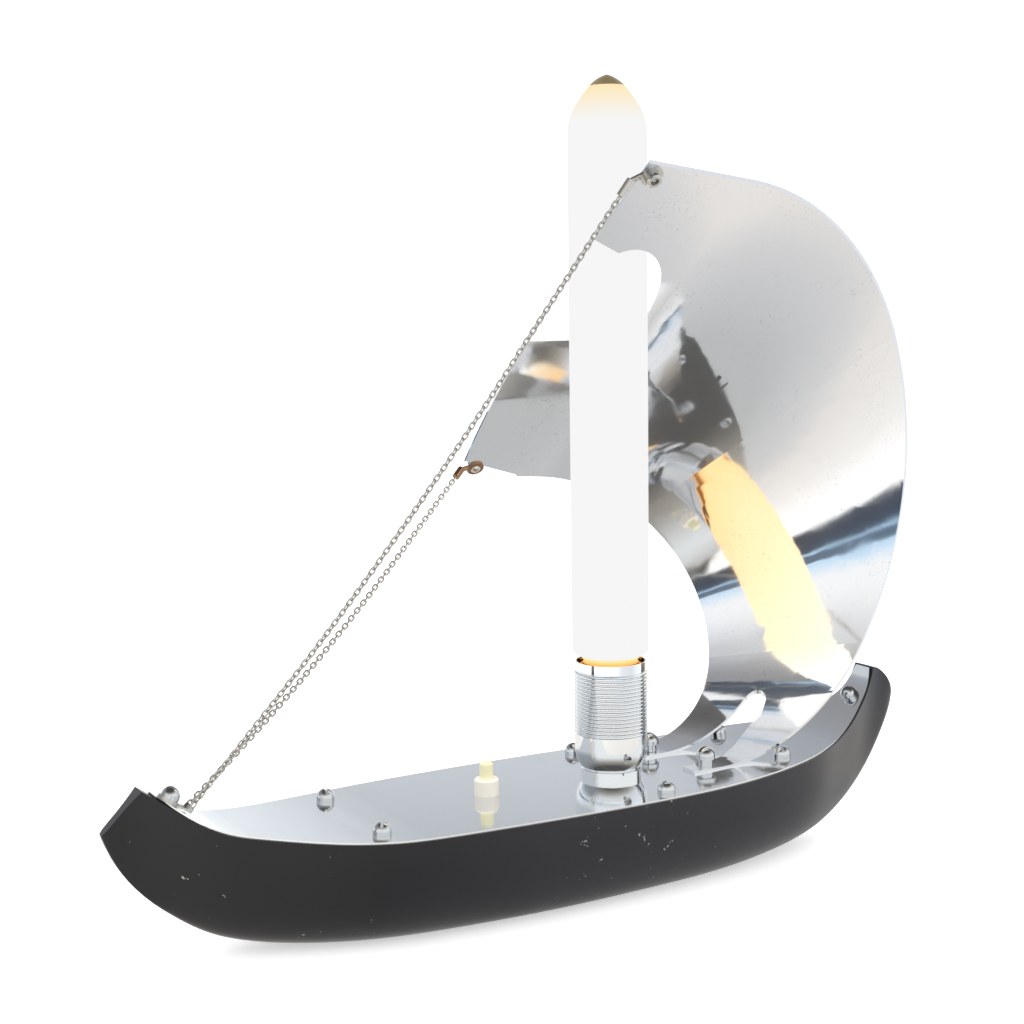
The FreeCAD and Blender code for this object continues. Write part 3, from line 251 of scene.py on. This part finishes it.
def opal():
    """Lit opal glass: white all along, warm where it enters the holder and around the seal. Diffuse light
    from it is warm, and mirrors see it warm low down and white from half way up."""
    graph = Finish("opal_glass_lit")
    up = graph.part(2)
    foot = graph.ramp(graph.maths("DIVIDE", up, 0.12), (0.722, (0.95, 0.50, 0.10)),
                      (0.738, (1.0, 0.82, 0.30)), (0.752, (0.92, 0.92, 0.92)))
    top = graph.ramp(graph.maths("MULTIPLY_ADD", up, 1 / 0.03, -0.28 / 0.03), (0.0, 0.0), (0.42, 0.0),
                     (0.93, 1.0))
    seen = graph.mix(top, foot, (1.0, 0.80, 0.42))
    path = graph.node("ShaderNodeLightPath")
    direct = graph.node("ShaderNodeEmission", {"Color": seen, "Strength": 1.0})
    along = graph.ramp(graph.maths("DIVIDE", up, 0.4), (0.22, (1.0, 0.60, 0.24)), (0.30, (1.0, 0.82, 0.55)),
                       (0.40, (1.0, 0.97, 0.90)), (0.60, (1.0, 1.0, 1.0)))
    mirrored = graph.node("ShaderNodeEmission", {"Color": along, "Strength": 1.6})
    cast = graph.node("ShaderNodeEmission", {"Color": (1.0, 0.78, 0.50, 1), "Strength": 2.2})
    glow = graph.where_mirrored(cast, mirrored)
    graph.end(graph.node("ShaderNodeMixShader", {0: path.outputs["Is Camera Ray"], 1: glow.outputs[0],
                                                 2: direct.outputs[0]}))
    return graph.material


FINISHES = {
    "black_lacquer": lacquer(),
    "deck": plated("deck_plate_chrome", CHROME, 0.05, 0.10, 0.08).material,
    "sail": plated("sail_mirror", (0.84, 0.85, 0.87), 0.035, 0.05, 0.03, 0.0004).material,
    "holder": holder_plate(),
    "screws": plated("screw_chrome", (0.62, 0.64, 0.66), 0.05, 0.08, 0.04, bloom=0.04).material,
    "nickel": plated("dull_nickel", (0.62, 0.60, 0.56), 0.20, 0.2, 0.1).material,
    "copper": plain("worn_copper", (0.50, 0.30, 0.17), 0.28, 1.0, (0.20, 0.12, 0.08), 500.0),
    "steel": plain("zinc_steel", (0.56, 0.56, 0.54), 0.30, 1.0),
    "brass": plain("plain_brass", (0.80, 0.58, 0.26), 0.25, 1.0, (0.62, 0.42, 0.18)),
    "ceramic": plain("white_steatite", (0.82, 0.81, 0.77), 0.55, bump=0.00005),
    "felt": plain("green_felt", (0.025, 0.045, 0.035), 0.9, scale=900.0, bump=0.0003),
    "board": plain("dark_board", (0.05, 0.04, 0.035), 0.7, scale=300.0, bump=0.0001),
    "black": plain("black_plastic", (0.02, 0.02, 0.02), 0.4),
    "white": plain("white_plastic", (0.80, 0.80, 0.76), 0.45),
    "cream": plain("cream_plastic", (0.98, 0.95, 0.87), 0.30, other=(0.94, 0.89, 0.78), scale=120.0),
    "ivory": plain("ivory_plastic", (0.95, 0.92, 0.62), 0.30, other=(0.88, 0.82, 0.52), scale=120.0),
    "glass_clear": plain("seal_glass", (0.30, 0.22, 0.11), 0.12, 0.6, (0.62, 0.50, 0.28), 160.0),
    "brown": plain("brown_sleeve", (0.24, 0.12, 0.06), 0.5),
    "blue": plain("blue_sleeve", (0.08, 0.18, 0.42), 0.5),
    "opal": opal(),
}

WEARS = {
    "hull": "black_lacquer", "deck_plate": "deck", "deck_screws": "screws", "stern_screw": "screws",
    "bow_screw": "screws", "cavity_cover": "board", "cover_screws": "steel", "base_felt": "felt",
    "inlet_bush": "black", "holder_shell": "holder", "holder_neck": "holder", "grub_screw": "steel",
    "bayonet_sleeve": "brass", "holder_core": "ceramic", "contact_plungers": "brass",
    "contact_springs": "steel", "holder_terminals": "brass", "nipple": "steel", "nipple_nut": "steel",
    "nipple_washer": "steel", "bulb_glass": "opal", "bulb_tip": "glass_clear", "bulb_cap": "brass",
    "bulb_pins": "brass", "bulb_contacts": "steel", "bulb_insulator": "black", "bulb_stem": "glass_clear",
    "bulb_filament": "steel", "switch_collar": "cream", "switch_plunger": "ivory", "switch_body": "black",
    "switch_spring": "steel", "switch_contacts": "brass", "sail": "sail", "foot_screws": "screws",
    "foot_collars": "screws", "head_tag": "nickel", "tack_tag": "copper", "head_bolt": "nickel",
    "head_nut": "nickel", "tack_screw": "nickel", "tack_nut": "nickel", "chain_head": "nickel",
    "chain_tack": "nickel", "bow_tags": "nickel", "terminal_block": "white", "lead_live": "brown",
    "lead_switched": "brown", "lead_neutral": "blue",
}
for name, finish in WEARS.items():
    for slot in NODES[name].material_slots:
        slot.material = FINISHES[finish]

# ---------------------------------------------------------------- springs


def pressed_coil(name, node):
    """The CAD's coil spring, copied as a piece of its own on the base."""
    made = bpy.data.objects.new(name, NODES[node].data.copy())
    scene.collection.objects.link(made)
    made.matrix_world = NODES[node].matrix_world
    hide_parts(node)
    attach(made, "base")
    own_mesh(made)


pressed_coil("switch_coil", "switch_spring")
pressed_coil("contact_coils", "contact_springs")

# ---------------------------------------------------------------- chains


def smooth_line(points):
    """The points along a NURBS spline with these control points, in metres."""
    data = bpy.data.curves.new("route", "CURVE")
    data.dimensions = "3D"
    spline = data.splines.new("NURBS")
    spline.points.add(len(points) - 1)
    for point, place in zip(spline.points, points):
        point.co = (*(part * MM for part in place), 1)
    spline.order_u, spline.use_endpoint_u, spline.resolution_u = 3, True, 40
    carrier = bpy.data.objects.new("route", data)
    mesh = bpy.data.meshes.new_from_object(carrier)
    line = [vertex.co.copy() for vertex in mesh.vertices]
    bpy.data.objects.remove(carrier)
    bpy.data.curves.remove(data)
    bpy.data.meshes.remove(mesh)
    return line


def walk(line, step):
    """Places at equal steps along a line, each with the line's direction there."""
    places, travelled, target = [], 0.0, step / 2
    for start, stop in zip(line, line[1:]):
        run = (stop - start).length
        while travelled + run >= target:
            places.append((start.lerp(stop, (target - travelled) / run), (stop - start).normalized()))
            target += step
        travelled += run
    return places


def link_ring(wire, width, length, sides=8, steps=20):
    """One chain link, lying along X in the XY plane: vertices and faces."""
    radius, straight = (width - wire) / 2, (length - width) / 2
    corners, faces = [], []
    for step in range(steps):
        angle = 2 * math.pi * step / steps
        outward = Vector((math.cos(angle), math.sin(angle), 0))
        middle = outward * radius + Vector((math.copysign(straight, outward.x), 0, 0))
        for side in range(sides):
            turn = 2 * math.pi * side / sides
            corners.append(middle + (outward * math.cos(turn) + Vector((0, 0, math.sin(turn)))) * wire / 2)
    for step in range(steps):
        for side in range(sides):
            ring, next_ring = step * sides, (step + 1) % steps * sides
            faces.append((ring + side, next_ring + side, next_ring + (side + 1) % sides,
                          ring + (side + 1) % sides))
    return corners, faces


def chain(name, route, node):
    """A fine curb chain along its route: long round links, each turned a quarter from the last."""
    line = smooth_line(route)
    ring, ring_faces = link_ring(LINK_WIRE, LINK_WIDTH, LINK_LENGTH)
    corners, faces = [], []
    for number, (place, along) in enumerate(walk(line, LINK_PITCH)):
        side = along.cross(Vector((0, 0, 1))).normalized()
        upward = side.cross(along)
        turn = math.radians(48 if number % 2 else -42)
        across = side * math.cos(turn) + upward * math.sin(turn)
        frame_of_link = Matrix((along, across, along.cross(across))).transposed()
        first = len(corners)
        corners += [place + frame_of_link @ corner for corner in ring]
        faces += [tuple(first + index for index in face) for face in ring_faces]
    mesh = bpy.data.meshes.new(name)
    mesh.from_pydata(corners, [], faces)
    mesh.shade_smooth()
    mesh.materials.append(FINISHES["nickel"])
    made = bpy.data.objects.new(name, mesh)
    scene.collection.objects.link(made)
    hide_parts(node)
    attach(made, "base")


LINK_WIRE, LINK_WIDTH, LINK_LENGTH, LINK_PITCH = 0.68 * MM, 2.4 * MM, 3.5 * MM, 2.2 * MM

# The routes of the CAD's two chain tubes, in millimetres, from the sail's tags to the bow's.
HEAD_ROUTE = [(13.0, -42.0, 262.6), (-11.19, -35.54, 226.89), (-44.46, -26.65, 176.76),
              (-86.8, -15.34, 118.51), (-117.04, -7.26, 81.42), (-138.21, -1.6, 55.64)]
TACK_ROUTE = [(2.2, 66.2, 156.0), (-18.86, 56.51, 138.75), (-49.75, 42.3, 113.87),
              (-86.26, 25.5, 87.58), (-117.15, 11.29, 68.1), (-138.21, 1.6, 55.64)]
chain("chain_head_links", HEAD_ROUTE, "chain_head")
chain("chain_tack_links", TACK_ROUTE, "chain_tack")

# ---------------------------------------------------------------- stage and light


# What mirrors see of the room all round at table height, by bearing from the lamp: a turn from 0 to 1,
# where 0.5 is the near side and 0.25 the bow's.
BEARINGS = [(0.05, (0.80, 0.86, 0.92)), (0.15, (0.30, 0.58, 0.80)), (0.24, (0.98, 0.98, 0.98)),
            (0.35, (1.0, 1.0, 1.0)), (0.44, (0.90, 0.90, 0.90)), (0.52, (0.66, 0.67, 0.69)),
            (0.60, (0.62, 0.63, 0.66)), (0.70, (0.80, 0.86, 0.92)), (0.80, (1.0, 1.0, 1.0)),
            (0.95, (0.88, 0.88, 0.88))]


def mirrored_paper(graph):
    """What mirrors see of the floor, by half its distance from under the sail: a painted shadow, grey by the
    hull and paler further out, then all round the room's bearings, or towards the bow the same painted
    shadow, then white paper and the dark past it."""
    reach = graph.maths("MULTIPLY", graph.apart((0.05, 0, 0)), 0.5)
    # Painted shadow: mirrors see the floor grey close under the hull and sail, paling outwards.
    painted_shadow_near = graph.ramp(reach, (0.04, (0.42, 0.425, 0.42)), (0.07, (0.545, 0.54, 0.535)),
                       (0.085, (0.67, 0.64, 0.605)), (0.13, (0.74, 0.72, 0.68)))
    bearing = graph.maths("ARCTAN2", graph.maths("SUBTRACT", graph.part(0), LAMP.x),
                          graph.maths("MULTIPLY", graph.part(1), -1.0))
    around = graph.ramp(graph.maths("MULTIPLY_ADD", bearing, 0.5 / math.pi, 0.5), *BEARINGS)
    far_off = graph.ramp(reach, (0.13, 0.0), (0.19, 1.0))
    # Towards the bow: the same painted shadow close to the hull, then white paper, the dark past its edge and
    # a pale blue band.
    bow_ward = graph.ramp(reach, (0.04, (0.41, 0.41, 0.415)), (0.07, (0.50, 0.49, 0.48)),
                          (0.10, (0.78, 0.75, 0.71)), (0.20, (1.0, 0.97, 0.93)), (0.27, (1.0, 1.0, 0.97)),
                          (0.30, (0.011, 0.021, 0.043)), (0.66, (0.014, 0.032, 0.064)),
                          (0.80, (0.45, 0.66, 0.84)), (0.95, (0.06, 0.10, 0.16)))
    bow_side = graph.ramp(graph.maths("MULTIPLY", graph.part(0), -1.0), (0.0, 0.0), (0.35, 1.0))
    colour = graph.mix(bow_side, graph.mix(far_off, painted_shadow_near, around), bow_ward)
    return graph.node("ShaderNodeEmission", {"Color": colour, "Strength": 1.4})


def stage():
    """A seamless pale floor; mirrors see it darken past its far edge, like paper laid in a darker room."""
    mesh = bpy.data.meshes.new("floor")
    reach = 6
    mesh.from_pydata([(-reach, -reach, 0), (reach, -reach, 0), (reach, reach, 0), (-reach, reach, 0)], [],
                     [(0, 1, 2, 3)])
    floor = bpy.data.objects.new("floor", mesh)
    scene.collection.objects.link(floor)
    graph = Finish("pale_floor")
    lift = graph.maths("MULTIPLY", graph.node("ShaderNodeLightPath").outputs["Is Camera Ray"], 0.5)
    graph.set(Base_Color=(0.90, 0.90, 0.90, 1), Roughness=0.9, Specular_IOR_Level=0.1,
              Emission_Color=(1, 1, 1, 1), Emission_Strength=lift)
    graph.end(graph.where_mirrored(graph.shader, mirrored_paper(graph)))
    mesh.materials.append(graph.material)


def room():
    """A white room: even light on everything. Mirrors see it bright all round, dark overhead, and a
    little dimmer on the far side."""
    world = bpy.data.worlds.new("studio")
    world.use_nodes = True
    scene.world = world
    graph = Graph(world.node_tree, "Generated")
    height = graph.maths("MULTIPLY_ADD", graph.part(2), 0.5, 0.5)
    near = graph.ramp(height, (0.50, (0.60, 0.82, 1.0)), (0.54, (1.0, 1.0, 1.0)), (0.72, (1.0, 1.0, 0.98)),
                      (0.84, (0.40, 0.36, 0.30)), (0.93, (0.07, 0.065, 0.06)))
    far = graph.ramp(height, (0.50, (0.96, 0.99, 1.0)), (0.58, (0.86, 0.89, 0.92)),
                     (0.68, (0.36, 0.38, 0.41)), (0.84, (0.30, 0.30, 0.31)), (0.93, (0.07, 0.065, 0.06)))
    side = graph.node("ShaderNodeMath", {0: graph.part(1), 1: 2.5, 2: 0.5}, operation="MULTIPLY_ADD",
                      use_clamp=True)
    seen = graph.node("ShaderNodeBackground", {"Color": (1, 1, 1, 1), "Strength": 1.3})
    mirrored = graph.node("ShaderNodeBackground", {"Color": graph.mix(side.outputs[0], near, far),
                                                   "Strength": 1.12})
    graph.feed(graph.tree.nodes["World Output"].inputs["Surface"],
               graph.where_mirrored(seen, mirrored).outputs[0])


stage()
room()
